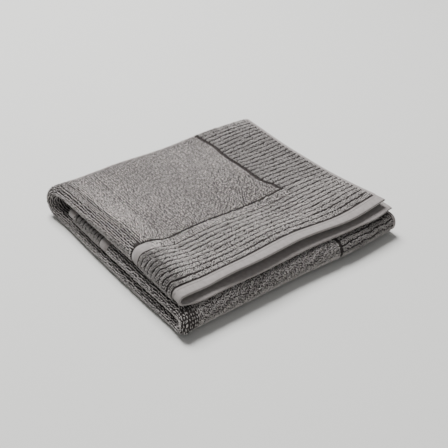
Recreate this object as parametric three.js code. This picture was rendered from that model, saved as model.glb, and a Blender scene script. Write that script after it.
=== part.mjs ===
// Folded foot towel: one length of heavy terry with two plain hems, two selvedges and a ribbed border.
// It is folded in half along its length, so that both selvedges lie at the right, and then in three.
// Millimetres, +Z up, front towards -Y. The origin is under the middle of the folded towel, on the floor.

import * as THREE from 'three';

// Cloth
const HALF_WIDTH = 250; // from the fold line to a selvedge
const TERRY_THICKNESS = 5.6;
const HEM_THICKNESS = 2.4;
const SELVEDGE_THICKNESS = 2.6;
const LAYER_PITCH = 6.25; // from the middle of one layer to the middle of the next

// Border, as distances from a hem's edge
const HEM_WIDTH = 10.5;
const HEM_STEP = 3; // over which the plain side grows from the hem to full thickness
const WIDE_RIBS = { count: 2, pitch: 6.6 };
const HEM_RIBS = { count: 7, pitch: 5.26 };
const STRIP_WIDTH = 11.5;
const SIDE_RIB_PITCH = 6.15;
const GROOVE_DEPTH = 1.5;
const GROOVE_SHARE = 0.28; // half a groove's width, as a share of its rib
const STRIP_RECESS = 0.5;
const LINE_WIDTH = 1.6; // half the groove between border and centre
const SIDE_BORDER_START = 179; // from the fold line
const SELVEDGE_START = 247; // from the fold line

// Folded outline
const HEM_Y = 4; // outer sheet's front hem
const BACK_Y = 226; // outermost point of the back fold
const NOSE_Y = -8; // outermost point of the front fold
const LAST_HEM_SETBACK = 38; // from the back fold to the hem that lies inside

// Left and right sides: how far out they are at the floor and at the top. The upper layers, from a
// share of the height, follow the top's values.
const LEFT_SIDE = { floor: 1, top: 5.6, bow: 2.6 };
const UPPER_LEVELS = { from: 0.5, to: 0.8 };
const RIGHT_SIDE = { floor: 249, top: 243, bow: 5.4, innerSheet: 5 };

// The top sheet stands open along the left fold, most at one place along the cloth
const OPEN_FOLD = { height: 7, at: 88, reach: 62, fallFrom: 6, fallTo: 34 };
const OPEN_FOLD_END = { before: 30, after: 10 }; // where it closes, from the start of the back fold

// Where the two sheets of the front hem part, by the distance across from the left fold.
// forward: how far the inner sheet's hem lies in front of the outer one's. droop: how far it hangs.
// lift: how far the outer sheet's hem stands up, or sags where negative. Each fades out along the cloth.
const HEM_PARTING = [
  { across: 0, forward: 2, droop: 1.8, lift: -1.2 },
  { across: 26, forward: 5, droop: 2.2, lift: -1.4 },
  { across: 72, forward: 4, droop: 2.6, lift: 1.5 },
  { across: 130, forward: 4.6, droop: 2.4, lift: 0.9 },
  { across: 200, forward: 4, droop: 2.0, lift: -0.4 },
  { across: 226, forward: 6.2, droop: 1.6, lift: 0.4 },
  { across: 250, forward: 5.2, droop: 1.2, lift: 1.0 },
];

const PARTING_REACH = { forwardFrom: 15, forwardTo: 90, droop: 12, lift: 34 };
const PARTING_SIDES = { forward: 14, droop: 10 }; // round the left fold

// The ribbed side border's inner edge wanders a little
const BORDER_WANDER = [
  { along: 60, across: 9 },
  { along: 80, across: 5 },
  { along: 98, across: 0.5 },
  { along: 120, across: 0.6 },
  { along: 152, across: -1.6 },
  { along: 180, across: 0.4 },
  { along: 212, across: -4 },
];

// The upper sheet's ribs run in a slow wave, and it lies a little uneven
const RIB_WAVE = { height: 1.3, length: 118, slant: 0.9, from: 25, to: 70 };
const LIE_WAVE = { height: 0.9, across: 98, along: 83, fromLevel: 0.86 };

// Soft pushes of single corners, outwards
const PUSH_FROM_FLOOR = 6; // they fade out towards the floor below this height
const CORNER_PUSHES = [
  { x: 0, y: 228, z: 17, reach: 24, out: -4.5, back: 4 },
  { x: 0, y: -6, z: 7, reach: 11, out: -2.5, back: -3 },
  { x: 190, y: -8, z: 8, reach: 40, out: 0, back: -3 },
];

// The lowest layer's middle is half a thickness above the floor
const SPINE_BOTTOM = (TERRY_THICKNESS + LAYER_PITCH) / 2;
const SPINE_MIDDLE = SPINE_BOTTOM + 2 * LAYER_PITCH;
const SPINE_TOP = SPINE_BOTTOM + 4 * LAYER_PITCH;
const OUTER_REACH = (TERRY_THICKNESS + LAYER_PITCH) / 2;
const FLAT_REACH = OUTER_REACH + HALF_WIDTH - (LAYER_PITCH / 2) * (Math.PI / 2);
const BACK_RADIUS = 2 * LAYER_PITCH;
const FRONT_RADIUS = LAYER_PITCH;
const HEIGHT = SPINE_TOP + OUTER_REACH;
const BACK_CENTRE_Y = BACK_Y - BACK_RADIUS - OUTER_REACH;
const FRONT_CENTRE_Y = NOSE_Y + FRONT_RADIUS + OUTER_REACH;

// Distances along the cloth where the folds begin and end
const BACK_START = BACK_CENTRE_Y - HEM_Y;
const BACK_END = BACK_START + Math.PI * BACK_RADIUS;
const FRONT_START = BACK_END + BACK_CENTRE_Y - FRONT_CENTRE_Y;
const FRONT_END = FRONT_START + Math.PI * FRONT_RADIUS;
const LENGTH = FRONT_END + BACK_Y - LAST_HEM_SETBACK - FRONT_CENTRE_Y;

// Finding a slope, touching the floor, and telling two lines apart
const SLOPE_STEP = 0.02;
const FLOOR_TOLERANCE = 1e-5;
const LINE_TOLERANCE = 0.35;

const STRIP_START = HEM_WIDTH + WIDE_RIBS.count * WIDE_RIBS.pitch + HEM_RIBS.count * HEM_RIBS.pitch;
const STRIP_END = STRIP_START + STRIP_WIDTH;

function smooth(value, from, to) {
  return THREE.MathUtils.smoothstep(value, from, to);
}

function hump(value, centre, reach) {
  return Math.exp(-(((value - centre) / reach) ** 2));
}

// Value of one column of a table at a place between its rows, with soft steps
function lookUp(table, key, column, value) {
  if (value <= table[0][key]) return table[0][column];
  for (let i = 1; i < table.length; i += 1) {
    const low = table[i - 1];
    const high = table[i];
    if (value <= high[key]) {
      return THREE.MathUtils.lerp(low[column], high[column], smooth(value, low[key], high[key]));
    }
  }
  return table[table.length - 1][column];
}

// Letter fold seen from the side: the line between the two sheets, and its outward direction
function spineAt(along) {
  if (along <= BACK_START) {
    return { y: HEM_Y + along, z: SPINE_TOP, outY: 0, outZ: 1 };
  }
  if (along <= BACK_END) {
    const turn = (along - BACK_START) / BACK_RADIUS;
    return {
      y: BACK_CENTRE_Y + BACK_RADIUS * Math.sin(turn),
      z: SPINE_MIDDLE + BACK_RADIUS * Math.cos(turn),
      outY: Math.sin(turn),
      outZ: Math.cos(turn),
    };
  }
  if (along <= FRONT_START) {
    return { y: BACK_CENTRE_Y - (along - BACK_END), z: SPINE_BOTTOM, outY: 0, outZ: -1 };
  }
  if (along <= FRONT_END) {
    const turn = (along - FRONT_START) / FRONT_RADIUS;
    return {
      y: FRONT_CENTRE_Y - FRONT_RADIUS * Math.sin(turn),
      z: SPINE_BOTTOM + FRONT_RADIUS * (1 - Math.cos(turn)),
      outY: -Math.sin(turn),
      outZ: -Math.cos(turn),
    };
  }
  return { y: FRONT_CENTRE_Y + along - FRONT_END, z: SPINE_MIDDLE, outY: 0, outZ: 1 };
}

function foldOpening(along) {
  const fade = 1 - smooth(along, BACK_START - OPEN_FOLD_END.before, BACK_START + OPEN_FOLD_END.after);
  return OPEN_FOLD.height * hump(along, OPEN_FOLD.at, OPEN_FOLD.reach) * fade;
}

function foldRadius(along) {
  return (LAYER_PITCH + foldOpening(along)) / 2;
}

// Half fold seen from the front: how far across a point lies, and how far out from the spine
function sectionAt(across, along) {
  const opening = foldOpening(along);
  const radius = foldRadius(along);
  const turn = Math.min(Math.abs(across) / radius, Math.PI / 2);
  const straight = Math.max(Math.abs(across) - radius * Math.PI / 2, 0);
  const fall = across > 0 ? opening * smooth(straight, OPEN_FOLD.fallFrom, OPEN_FOLD.fallTo) : 0;
  return {
    x: TERRY_THICKNESS / 2 + radius * (1 - Math.cos(turn)) + straight,
    out: opening / 2 + Math.sign(across) * radius * Math.sin(turn) - fall,
  };
}

function pushCorners(point) {
  for (const push of CORNER_PUSHES) {
    const far = Math.hypot(point.x - push.x, point.y - push.y, point.z - push.z);
    const share = hump(far, 0, push.reach) * smooth(point.z, 0, PUSH_FROM_FLOOR);
    point.x += push.out * share;
    point.y += push.back * share;
  }
}

// Lets the inner sheet's hem reach forward and hang a little, and the outer one stand up
function partHem(point, across, along, flatX) {
  const inner = smooth(-across, 0, PARTING_SIDES.forward);
  const forward = lookUp(HEM_PARTING, 'across', 'forward', -across);
  point.y -= inner * forward * (1 - smooth(along, PARTING_REACH.forwardFrom, PARTING_REACH.forwardTo));
  const lower = 1 - smooth(across, -PARTING_SIDES.droop, PARTING_SIDES.droop);
  const droopFade = Math.max(1 - along / PARTING_REACH.droop, 0) ** 2;
  const droop = lookUp(HEM_PARTING, 'across', 'droop', flatX) * droopFade;
  const liftFade = 1 - smooth(along, 0, PARTING_REACH.lift);
  const lift = lookUp(HEM_PARTING, 'across', 'lift', flatX) * liftFade;
  point.z += lift * (1 - lower) - droop * lower;
}

// Middle of the cloth at a distance across it from the fold line and along it from the front hem.
// Positive distances across are the outer sheet, which shows on top.
function middleAt(across, along) {
  const section = sectionAt(across, along);
  const spine = spineAt(along);
  const point = new THREE.Vector3(
    section.x,
    spine.y + section.out * spine.outY,
    spine.z + section.out * spine.outZ,
  );
  if (along < BACK_START) partHem(point, across, along, section.x);
  return point;
}

// Moves a point of the evenly folded towel to where it lies in the real one: the lower layers stand
// out at the sides, the sides bow, and the corners are pushed outwards
function settle(point, across) {
  const level = THREE.MathUtils.clamp(point.z / HEIGHT, 0, 1);
  const bow = Math.sin(Math.PI * THREE.MathUtils.clamp(point.y / BACK_Y, 0, 1));
  const upper = smooth(level, UPPER_LEVELS.from, UPPER_LEVELS.to);
  const innerShare = across < 0 ? upper : 0;
  const left = THREE.MathUtils.lerp(LEFT_SIDE.floor - LEFT_SIDE.bow * bow, LEFT_SIDE.top, level);
  const right = THREE.MathUtils.lerp(RIGHT_SIDE.floor, RIGHT_SIDE.top, upper)
    - RIGHT_SIDE.bow * bow * level + RIGHT_SIDE.innerSheet * innerShare;
  point.x = left + (point.x / FLAT_REACH) * (right - left);
  pushCorners(point);
  const ribTurn = (2 * Math.PI * (point.x + RIB_WAVE.slant * point.y)) / RIB_WAVE.length;
  point.y += RIB_WAVE.height * Math.sin(ribTurn) * upper * smooth(point.x, RIB_WAVE.from, RIB_WAVE.to);
  const lieAcross = Math.sin((2 * Math.PI * point.x) / LIE_WAVE.across);
  const lieAlong = Math.sin((2 * Math.PI * point.y) / LIE_WAVE.along);
  point.z += (LIE_WAVE.height / 2) * (1 + lieAcross * lieAlong) * smooth(level, LIE_WAVE.fromLevel, 1);
  return point;
}

function borderEdge(along) {
  return SIDE_BORDER_START + lookUp(BORDER_WANDER, 'along', 'across', along);
}

// Distance from the nearer hem's edge
function fromHem(along) {
  return Math.min(along, LENGTH - along);
}

// Running length on the outer sheet's face, which is longer than the middle line where the towel folds
function faceLength(along) {
  const back = THREE.MathUtils.clamp(along, BACK_START, BACK_END) - BACK_START;
  const front = THREE.MathUtils.clamp(along, FRONT_START, FRONT_END) - FRONT_START;
  return along + back * (OUTER_REACH / BACK_RADIUS) + front * (OUTER_REACH / FRONT_RADIUS);
}

// Distance along the middle line for a running length on the face
function alongAtLength(length) {
  const ends = [0, BACK_START, BACK_END, FRONT_START, FRONT_END, LENGTH];
  const high = ends.findIndex((end, i) => i > 0 && length <= faceLength(end));
  const low = high - 1;
  return THREE.MathUtils.mapLinear(length, faceLength(ends[low]), faceLength(ends[high]), ends[low], ends[high]);
}

// Every groove between two ribs, along the cloth, with half its width
function grooveTable() {
  const near = [];
  let place = HEM_WIDTH;
  for (const ribs of [WIDE_RIBS, HEM_RIBS]) {
    for (let i = 0; i < ribs.count; i += 1) {
      near.push(place);
      place += ribs.pitch;
    }
  }
  const start = faceLength(STRIP_START);
  const span = faceLength(LENGTH - STRIP_START) - start;
  const count = Math.round(span / SIDE_RIB_PITCH);
  const between = Array.from({ length: count + 1 }, (_, i) => alongAtLength(start + (i * span) / count));
  const far = near.map((at) => LENGTH - at).reverse();
  const places = [...near, ...between, ...far];
  const ribs = places.slice(1).map((at, i) => at - places[i]);
  return places.map((at, i) => ({ at, half: Math.min(...ribs.slice(Math.max(i - 1, 0), i + 1)) * GROOVE_SHARE }));
}

const GROOVES = grooveTable();

function ribRelief(along) {
  let relief = 0;
  for (const groove of GROOVES) {
    const share = Math.max(0, 1 - Math.abs(along - groove.at) / groove.half);
    relief = Math.max(relief, GROOVE_DEPTH * share);
  }
  return relief;
}

// How far the right side of the cloth stands from its middle
function faceHeight(across, along) {
  const hem = fromHem(along);
  const full = TERRY_THICKNESS / 2;
  if (hem <= HEM_WIDTH) return HEM_THICKNESS / 2;
  if (Math.abs(across) > SELVEDGE_START) return SELVEDGE_THICKNESS / 2;
  const toBorder = Math.abs(Math.abs(across) - borderEdge(along));
  const edgeGroove = hem > STRIP_END - LINE_WIDTH ? GROOVE_DEPTH * Math.max(0, 1 - toBorder / LINE_WIDTH) : 0;
  if (Math.abs(across) >= borderEdge(along)) return full - Math.max(ribRelief(along), edgeGroove);
  if (hem <= STRIP_START) return full - ribRelief(along);
  const lineGroove = GROOVE_DEPTH * Math.max(0, 1 - Math.abs(hem - STRIP_END) / LINE_WIDTH);
  if (hem < STRIP_END) return full - Math.max(STRIP_RECESS, lineGroove);
  return full - Math.max(edgeGroove, lineGroove);
}

// How far the other side stands from the middle: plain, because no part of it shows
function backHeight(across, along) {
  if (Math.abs(across) > SELVEDGE_START) return SELVEDGE_THICKNESS / 2;
  const thin = 1 - smooth(fromHem(along), HEM_WIDTH, HEM_WIDTH + HEM_STEP);
  return THREE.MathUtils.lerp(TERRY_THICKNESS, HEM_THICKNESS, thin) / 2;
}

// Point of either face, found square to the cloth's middle
function surfaceAt(across, along, height) {
  const alongSlope = middleAt(across, along + SLOPE_STEP).sub(middleAt(across, along - SLOPE_STEP));
  const acrossSlope = middleAt(across + SLOPE_STEP, along).sub(middleAt(across - SLOPE_STEP, along));
  const normal = acrossSlope.cross(alongSlope).normalize();
  const point = middleAt(across, along).addScaledVector(normal, height);
  if (Math.abs(point.z) < FLOOR_TOLERANCE) point.z = 0;
  return settle(point, across);
}

function evenly(from, to, count) {
  return Array.from({ length: count }, (_, i) => from + ((to - from) * (i + 0.5)) / count);
}

function ribLines(from, to) {
  const lines = [];
  for (const groove of GROOVES) {
    if (groove.at >= from && groove.at <= to) {
      lines.push(groove.at - groove.half, groove.at, groove.at + groove.half);
    }
  }
  return lines;
}

// In order, within the cloth and without doubles
function tidyLines(lines) {
  const kept = [];
  for (const line of [...lines].sort((a, b) => a - b)) {
    const apart = kept.length === 0 || line - kept[kept.length - 1] > LINE_TOLERANCE;
    if (line >= 0 && line <= LENGTH && apart) kept.push(line);
  }
  return kept;
}

function bothEnds(distances) {
  return distances.flatMap((distance) => [distance, LENGTH - distance]);
}

// Lines across the cloth, as distances along it
const TURN_LINES = [
  BACK_START,
  ...evenly(BACK_START, BACK_END, 8),
  BACK_END,
  FRONT_START,
  ...evenly(FRONT_START, FRONT_END, 6),
  FRONT_END,
];
const HEM_LINES = bothEnds([0, 2.5, 6]);
const PLAIN_LINES = [
  ...HEM_LINES,
  ...bothEnds([HEM_WIDTH, HEM_WIDTH + HEM_STEP, 24, 40, STRIP_START + 8, 90]),
  ...evenly(100, BACK_START, 3),
  ...TURN_LINES,
  ...evenly(BACK_END, FRONT_START, 3),
  ...evenly(FRONT_END, LENGTH - 90, 2),
];
const OPEN_LINES = evenly(STRIP_END + 6, 160, 4);
const STRIP_LINES = bothEnds([
  STRIP_START + 1,
  STRIP_END - LINE_WIDTH,
  STRIP_END,
  STRIP_END + LINE_WIDTH,
]);
const LINES = {
  plain: tidyLines(PLAIN_LINES),
  centre: tidyLines([
    ...HEM_LINES,
    ...ribLines(0, STRIP_START),
    ...STRIP_LINES.filter((line) => line < LENGTH / 2),
    ...OPEN_LINES,
    ...PLAIN_LINES.filter((line) => line > STRIP_END + 5),
  ]),
  fold: tidyLines([
    ...HEM_LINES,
    ...ribLines(0, STRIP_START),
    ...ribLines(LENGTH - STRIP_START, LENGTH),
    ...STRIP_LINES,
    ...OPEN_LINES,
    ...PLAIN_LINES.filter((line) => fromHem(line) > STRIP_END + 5),
  ]),
  border: tidyLines([
    ...HEM_LINES,
    ...ribLines(0, BACK_END),
    ...PLAIN_LINES.filter((line) => line >= BACK_END && line <= FRONT_START),
    ...ribLines(FRONT_START + 2, FRONT_END + 10),
    ...PLAIN_LINES.filter((line) => line > FRONT_END + 10),
  ]),
};

// Columns of points along the cloth, from the inner sheet's selvedge to the outer sheet's.
// turn: place round the left fold, in right angles. across: distance from the fold line.
// edge: distance from the side border's inner edge. face and back name the lines of each side.
const COLUMNS = [
  { across: -HALF_WIDTH, face: 'plain', back: 'plain' },
  { across: -SELVEDGE_START, face: 'plain', back: 'plain' },
  { across: -225, face: 'plain', back: 'plain' },
  { across: -181, face: 'plain', back: 'plain' },
  { across: -148, face: 'plain', back: 'plain' },
  { across: -100, face: 'plain', back: 'plain' },
  { across: -60, face: 'plain', back: 'plain' },
  { across: -32, face: 'plain', back: 'plain' },
  { across: -17, face: 'plain', back: 'plain' },
  { turn: -1, face: 'fold', back: 'plain' },
  { turn: -0.66, face: 'fold', back: 'plain' },
  { turn: -0.33, face: 'fold', back: 'plain' },
  { turn: 0, face: 'fold', back: 'plain' },
  { turn: 0.33, face: 'fold', back: 'plain' },
  { turn: 0.66, face: 'fold', back: 'plain' },
  { turn: 1, face: 'fold', back: 'plain' },
  { across: 17, face: 'centre', back: 'plain' },
  { across: 24, face: 'centre' },
  { across: 32, face: 'centre', back: 'plain' },
  { across: 42, face: 'centre' },
  { across: 60, face: 'centre', back: 'plain' },
  { across: 85, face: 'centre' },
  { across: 100, face: 'centre', back: 'plain' },
  { across: 122, face: 'centre' },
  { across: 148, face: 'centre', back: 'plain' },
  { edge: -LINE_WIDTH, face: 'centre' },
  { edge: 0, face: 'border' },
  { edge: LINE_WIDTH, face: 'border', back: 'plain' },
  { across: 203, face: 'border' },
  { across: 225, face: 'border', back: 'plain' },
  { across: SELVEDGE_START, face: 'border', back: 'plain' },
  { across: HALF_WIDTH, face: 'border', back: 'plain' },
];

function columnAcross(column, along) {
  if (column.turn !== undefined) return column.turn * foldRadius(along) * (Math.PI / 2);
  if (column.edge !== undefined) return borderEdge(along) + column.edge;
  return column.across;
}

// Joins two columns of points with triangles, stepping up whichever column is behind
function zipColumns(left, right, facing, triangles) {
  let i = 0;
  let j = 0;
  while (i < left.length - 1 || j < right.length - 1) {
    const leftNext = i < left.length - 1 ? left[i + 1].along : Infinity;
    const rightNext = j < right.length - 1 ? right[j + 1].along : Infinity;
    const corner = leftNext <= rightNext ? left[i + 1] : right[j + 1];
    const triangle = [left[i].index, right[j].index, corner.index];
    triangles.push(...(facing ? triangle : triangle.reverse()));
    if (leftNext <= rightNext) i += 1;
    else j += 1;
  }
}

function buildTowelGeometry() {
  const positions = [];
  const triangles = [];
  const addPoint = (point) => {
    positions.push(point.x, point.y, point.z);
    return positions.length / 3 - 1;
  };
  const buildFace = (side, heightAt, sign) => COLUMNS.filter((column) => column[side]).map((column) => (
    LINES[column[side]].map((along) => {
      const across = columnAcross(column, along);
      return { across, along, index: addPoint(surfaceAt(across, along, sign * heightAt(across, along))) };
    })
  ));
  const face = buildFace('face', faceHeight, 1);
  const back = buildFace('back', backHeight, -1);
  for (let i = 1; i < face.length; i += 1) zipColumns(face[i - 1], face[i], true, triangles);
  for (let i = 1; i < back.length; i += 1) zipColumns(back[i - 1], back[i], false, triangles);
  closeRim(face, back, triangles);
  const geometry = new THREE.BufferGeometry();
  geometry.setAttribute('position', new THREE.Float32BufferAttribute(positions, 3));
  geometry.setIndex(triangles);
  return geometry;
}

// Closes the hems and selvedges between the two faces
function closeRim(face, back, triangles) {
  const first = (column) => column[0];
  const last = (column) => column[column.length - 1];
  const byAcross = (columns, pick) => columns.map(pick).map((point) => ({ ...point, along: point.across }));
  zipColumns(back[0], face[0], true, triangles);
  zipColumns(face[face.length - 1], back[back.length - 1], true, triangles);
  zipColumns(byAcross(face, first), byAcross(back, first), true, triangles);
  zipColumns(byAcross(back, last), byAcross(face, last), true, triangles);
}

// Stands the towel over the origin
function centreOnFloor(geometry) {
  geometry.computeBoundingBox();
  const centre = geometry.boundingBox.getCenter(new THREE.Vector3());
  geometry.translate(-centre.x, -centre.y, -geometry.boundingBox.min.z);
  geometry.computeVertexNormals();
  return geometry;
}

const terryCotton = new THREE.MeshStandardMaterial({ color: 0x948e8c, roughness: 0.95, metalness: 0 });

const towel = new THREE.Mesh(centreOnFloor(buildTowelGeometry()), terryCotton);
towel.name = 'towel';

const part = new THREE.Group();
part.add(towel);

export default part;
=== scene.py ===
import math

import bpy
import numpy as np
from bpy.props import FloatProperty, FloatVectorProperty, IntProperty, PointerProperty
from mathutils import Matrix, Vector


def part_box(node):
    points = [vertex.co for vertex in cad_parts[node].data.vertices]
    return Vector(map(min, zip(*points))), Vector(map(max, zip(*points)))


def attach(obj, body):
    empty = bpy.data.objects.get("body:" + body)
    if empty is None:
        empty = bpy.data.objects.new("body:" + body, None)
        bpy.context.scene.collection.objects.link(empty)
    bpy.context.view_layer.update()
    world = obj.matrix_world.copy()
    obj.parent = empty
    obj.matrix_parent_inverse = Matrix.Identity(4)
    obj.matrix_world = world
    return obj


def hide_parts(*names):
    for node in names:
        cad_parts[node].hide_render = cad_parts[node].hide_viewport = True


bl_info = {
    "name": "Folded Foot Towel",
    "version": (1, 0, 0),
    "blender": (4, 5, 0),
    "location": "3D View > Sidebar > Towel",
    "description": "Terry foot towel with woven hems and a ribbed border, folded in half and then in three",
    "category": "Add Mesh",
}

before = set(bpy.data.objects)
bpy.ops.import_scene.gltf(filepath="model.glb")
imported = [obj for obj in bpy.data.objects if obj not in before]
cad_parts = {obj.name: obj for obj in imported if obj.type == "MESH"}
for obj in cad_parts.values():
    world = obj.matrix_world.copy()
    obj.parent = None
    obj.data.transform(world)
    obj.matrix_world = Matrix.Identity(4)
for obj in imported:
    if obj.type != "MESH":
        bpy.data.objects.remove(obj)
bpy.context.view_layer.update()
TOWEL_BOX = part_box("towel")

# Shapes are worked out in millimetres, and turned to metres where a mesh is made.
MM = 0.001

# Cloth, as in the part's source
HALF_WIDTH = 250
TERRY_THICKNESS = 5.6
HEM_THICKNESS = 2.4
SELVEDGE_THICKNESS = 2.6
LAYER_PITCH = 6.25
HEM_WIDTH = 10.5
WIDE_RIBS = {"count": 2, "pitch": 6.6}
HEM_RIBS = {"count": 7, "pitch": 5.26}
STRIP_WIDTH = 11.5
SIDE_RIB_PITCH = 6.15
STRIP_RECESS = 0.5
SIDE_BORDER_START = 179
SELVEDGE_START = 247

# Folded outline, as in the part's source
HEM_Y = 4
BACK_Y = 226
NOSE_Y = -8
LAST_HEM_SETBACK = 38
LEFT_SIDE = {"floor": 1, "top": 5.6, "bow": 2.6}
RIGHT_SIDE = {"floor": 249, "top": 243, "bow": 5.4, "inner_sheet": 5}
UPPER_LEVELS = {"start": 0.5, "end": 0.8}
OPEN_FOLD = {"height": 7, "at": 88, "reach": 62, "fall_from": 6, "fall_to": 34}
OPEN_FOLD_END = {"before": 30, "after": 10}
HEM_PARTING = [
    {"across": 0, "forward": 2, "droop": 1.8, "lift": -1.2},
    {"across": 26, "forward": 5, "droop": 2.2, "lift": -1.4},
    {"across": 72, "forward": 4, "droop": 2.6, "lift": 1.5},
    {"across": 130, "forward": 4.6, "droop": 2.4, "lift": 0.9},
    {"across": 200, "forward": 4, "droop": 2.0, "lift": -0.4},
    {"across": 226, "forward": 6.2, "droop": 1.6, "lift": 0.4},
    {"across": 250, "forward": 5.2, "droop": 1.2, "lift": 1.0},
]
PARTING_REACH = {"forward_from": 15, "forward_to": 90, "droop": 12, "lift": 34}
PARTING_SIDES = {"forward": 14, "droop": 10}
BORDER_WANDER = [
    {"along": 60, "across": 9},
    {"along": 80, "across": 5},
    {"along": 98, "across": 0.5},
    {"along": 120, "across": 0.6},
    {"along": 152, "across": -1.6},
    {"along": 180, "across": 0.4},
    {"along": 212, "across": -4},
]
RIB_WAVE = {"height": 1.3, "length": 118, "slant": 0.9, "start": 25, "end": 70}
LIE_WAVE = {"height": 0.9, "across": 98, "along": 83, "from_level": 0.86}
PUSH_FROM_FLOOR = 6
CORNER_PUSHES = [
    {"x": 0, "y": 228, "z": 17, "reach": 24, "out": -4.5, "back": 4},
    {"x": 0, "y": -6, "z": 7, "reach": 11, "out": -2.5, "back": -3},
    {"x": 190, "y": -8, "z": 8, "reach": 40, "out": 0, "back": -3},
]

SPINE_BOTTOM = (TERRY_THICKNESS + LAYER_PITCH) / 2
SPINE_TOP = SPINE_BOTTOM + 4 * LAYER_PITCH
OUTER_REACH = (TERRY_THICKNESS + LAYER_PITCH) / 2
FLAT_REACH = OUTER_REACH + HALF_WIDTH - (LAYER_PITCH / 2) * (math.pi / 2)
BACK_RADIUS = 2 * LAYER_PITCH
FRONT_RADIUS = LAYER_PITCH
HEIGHT = SPINE_TOP + OUTER_REACH
BACK_CENTRE_Y = BACK_Y - BACK_RADIUS - OUTER_REACH
FRONT_CENTRE_Y = NOSE_Y + FRONT_RADIUS + OUTER_REACH
BACK_START = BACK_CENTRE_Y - HEM_Y
BACK_END = BACK_START + math.pi * BACK_RADIUS
FRONT_START = BACK_END + BACK_CENTRE_Y - FRONT_CENTRE_Y
FRONT_END = FRONT_START + math.pi * FRONT_RADIUS
LENGTH = FRONT_END + BACK_Y - LAST_HEM_SETBACK - FRONT_CENTRE_Y
STRIP_START = HEM_WIDTH + WIDE_RIBS["count"] * WIDE_RIBS["pitch"] + HEM_RIBS["count"] * HEM_RIBS["pitch"]
STRIP_END = STRIP_START + STRIP_WIDTH

# Finish that only this scene has
FULL = TERRY_THICKNESS / 2
GROUND = 1.6  # from the cloth's middle to the ground weave, under the loops
GROOVE_GROUND = 0.8  # the same between two ribs
HIDDEN_FACE = 2.4  # where the layers lie on each other and no loop is drawn
EDGE_ROUND = 1.2
STRIP_BEND = {"start": 12, "end": 38}  # the strip is smooth round the left fold, and loops cover it from here
BORDER_LEAD = {"from": 20, "reach": 30}  # how far the columns of loops follow the border's uneven edge
SELVEDGE_CORD = {"at": 248.3, "width": 1.3, "height": 0.9}
STITCH_LINE = 8.4  # from the hem's edge
SEAM_DENT = {"depth": 0.22, "width": 0.9}
STITCH = {"length": 2.6, "pitch": 3.4, "thickness": 0.42, "rise": 0.24}


def smooth(value, start, end):
    """Soft step: 0 before start, 1 after end, and 3t^2 - 2t^3 between."""
    share = np.clip((value - start) / (end - start), 0, 1)
    return share * share * (3 - 2 * share)


def hump(value, centre, reach):
    """Bell curve of height 1."""
    return np.exp(-(((value - centre) / reach) ** 2))


def look_up(rows, key, column, value):
    """Value of a table's column between its rows, with soft steps."""
    keys = np.array([row[key] for row in rows], dtype=float)
    values = np.array([row[column] for row in rows], dtype=float)
    high = np.clip(np.searchsorted(keys, value), 1, len(keys) - 1)
    share = smooth(value, keys[high - 1], keys[high])
    return values[high - 1] + (values[high] - values[high - 1]) * share


def fold_opening(along):
    """How much further apart the two sheets stand at the left fold: a bell curve that ends at the back."""
    fade = 1 - smooth(along, BACK_START - OPEN_FOLD_END["before"], BACK_START + OPEN_FOLD_END["after"])
    return OPEN_FOLD["height"] * hump(along, OPEN_FOLD["at"], OPEN_FOLD["reach"]) * fade


def fold_radius(along):
    """Radius of the left fold, to the middle of the cloth."""
    return (LAYER_PITCH + fold_opening(along)) / 2


def middle(across, along):
    """Middle of the cloth, evenly folded.

    Across: a half round at the left fold, then straight to the selvedge. Along: straight on top, a half
    round at the back, straight along the floor, a half round at the front, and straight again inside.
    """
    opening = fold_opening(along)
    radius = fold_radius(along)
    turn = np.minimum(np.abs(across) / radius, math.pi / 2)
    straight = np.maximum(np.abs(across) - radius * math.pi / 2, 0)
    fall = (across > 0) * opening * smooth(straight, OPEN_FOLD["fall_from"], OPEN_FOLD["fall_to"])
    flat_x = TERRY_THICKNESS / 2 + radius * (1 - np.cos(turn)) + straight
    out = opening / 2 + np.sign(across) * radius * np.sin(turn) - fall

    back = np.clip((along - BACK_START) / BACK_RADIUS, 0, math.pi)
    front = np.clip((along - FRONT_START) / FRONT_RADIUS, 0, math.pi)
    y = HEM_Y + np.minimum(along, BACK_START) + BACK_RADIUS * np.sin(back)
    y = y - np.clip(along - BACK_END, 0, FRONT_START - BACK_END) - FRONT_RADIUS * np.sin(front)
    y = y + np.maximum(along - FRONT_END, 0) + out * (np.sin(back) - np.sin(front))
    z = SPINE_TOP - BACK_RADIUS * (1 - np.cos(back)) + FRONT_RADIUS * (1 - np.cos(front))
    z = z + out * np.cos(back) * np.cos(front)

    # The inner sheet's hem reaches forward and hangs a little, and the outer one stands up
    before_back = along < BACK_START
    inner = smooth(-across, 0, PARTING_SIDES["forward"])
    forward_fade = 1 - smooth(along, PARTING_REACH["forward_from"], PARTING_REACH["forward_to"])
    y = y - before_back * inner * forward_fade * look_up(HEM_PARTING, "across", "forward", -across)
    lower = 1 - smooth(across, -PARTING_SIDES["droop"], PARTING_SIDES["droop"])
    droop = look_up(HEM_PARTING, "across", "droop", flat_x)
    droop = droop * np.maximum(1 - along / PARTING_REACH["droop"], 0) ** 2
    lift = look_up(HEM_PARTING, "across", "lift", flat_x) * (1 - smooth(along, 0, PARTING_REACH["lift"]))
    z = z + before_back * (lift * (1 - lower) - droop * lower)
    return np.stack([flat_x, y, z], axis=-1)


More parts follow.
